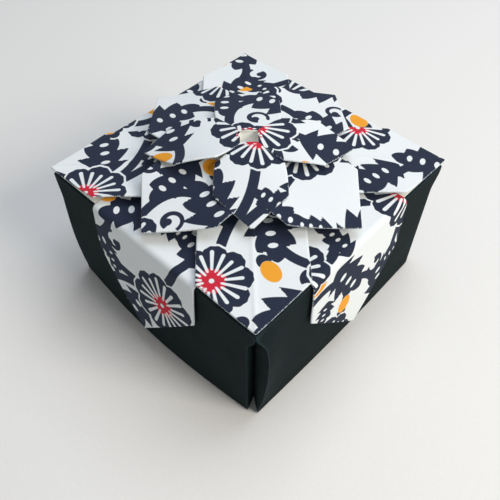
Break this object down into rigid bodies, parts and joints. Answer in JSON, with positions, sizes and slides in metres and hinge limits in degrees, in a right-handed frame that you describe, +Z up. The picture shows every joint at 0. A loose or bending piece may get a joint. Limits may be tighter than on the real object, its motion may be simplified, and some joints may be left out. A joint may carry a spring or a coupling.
{
  "type": "origami box with a folded flower lid",
  "caption": "Square folded paper box with a printed flower cap whose long petals hang over the walls.",
  "frame": {"origin": "middle of the underside, on the surface the box stands on", "axes": "+Z up; X and Y square to the four walls"},
  "size_m": [0.069, 0.069, 0.0455],
  "materials": {
    "dark_paper": "matt dark blue-green craft paper",
    "printed_paper": "uncoated white paper with a navy, red and orange flower print"
  },
  "bodies": {
    "box": {"base": "dark_paper"},
    "cap": {"lid": "printed_paper"}
  },
  "joints": [
    {"name": "lid_lift", "type": "slide", "parent": "box", "child": "cap", "axis": [0, 0, 1], "range_m": [0, 0.045]}
  ]
}
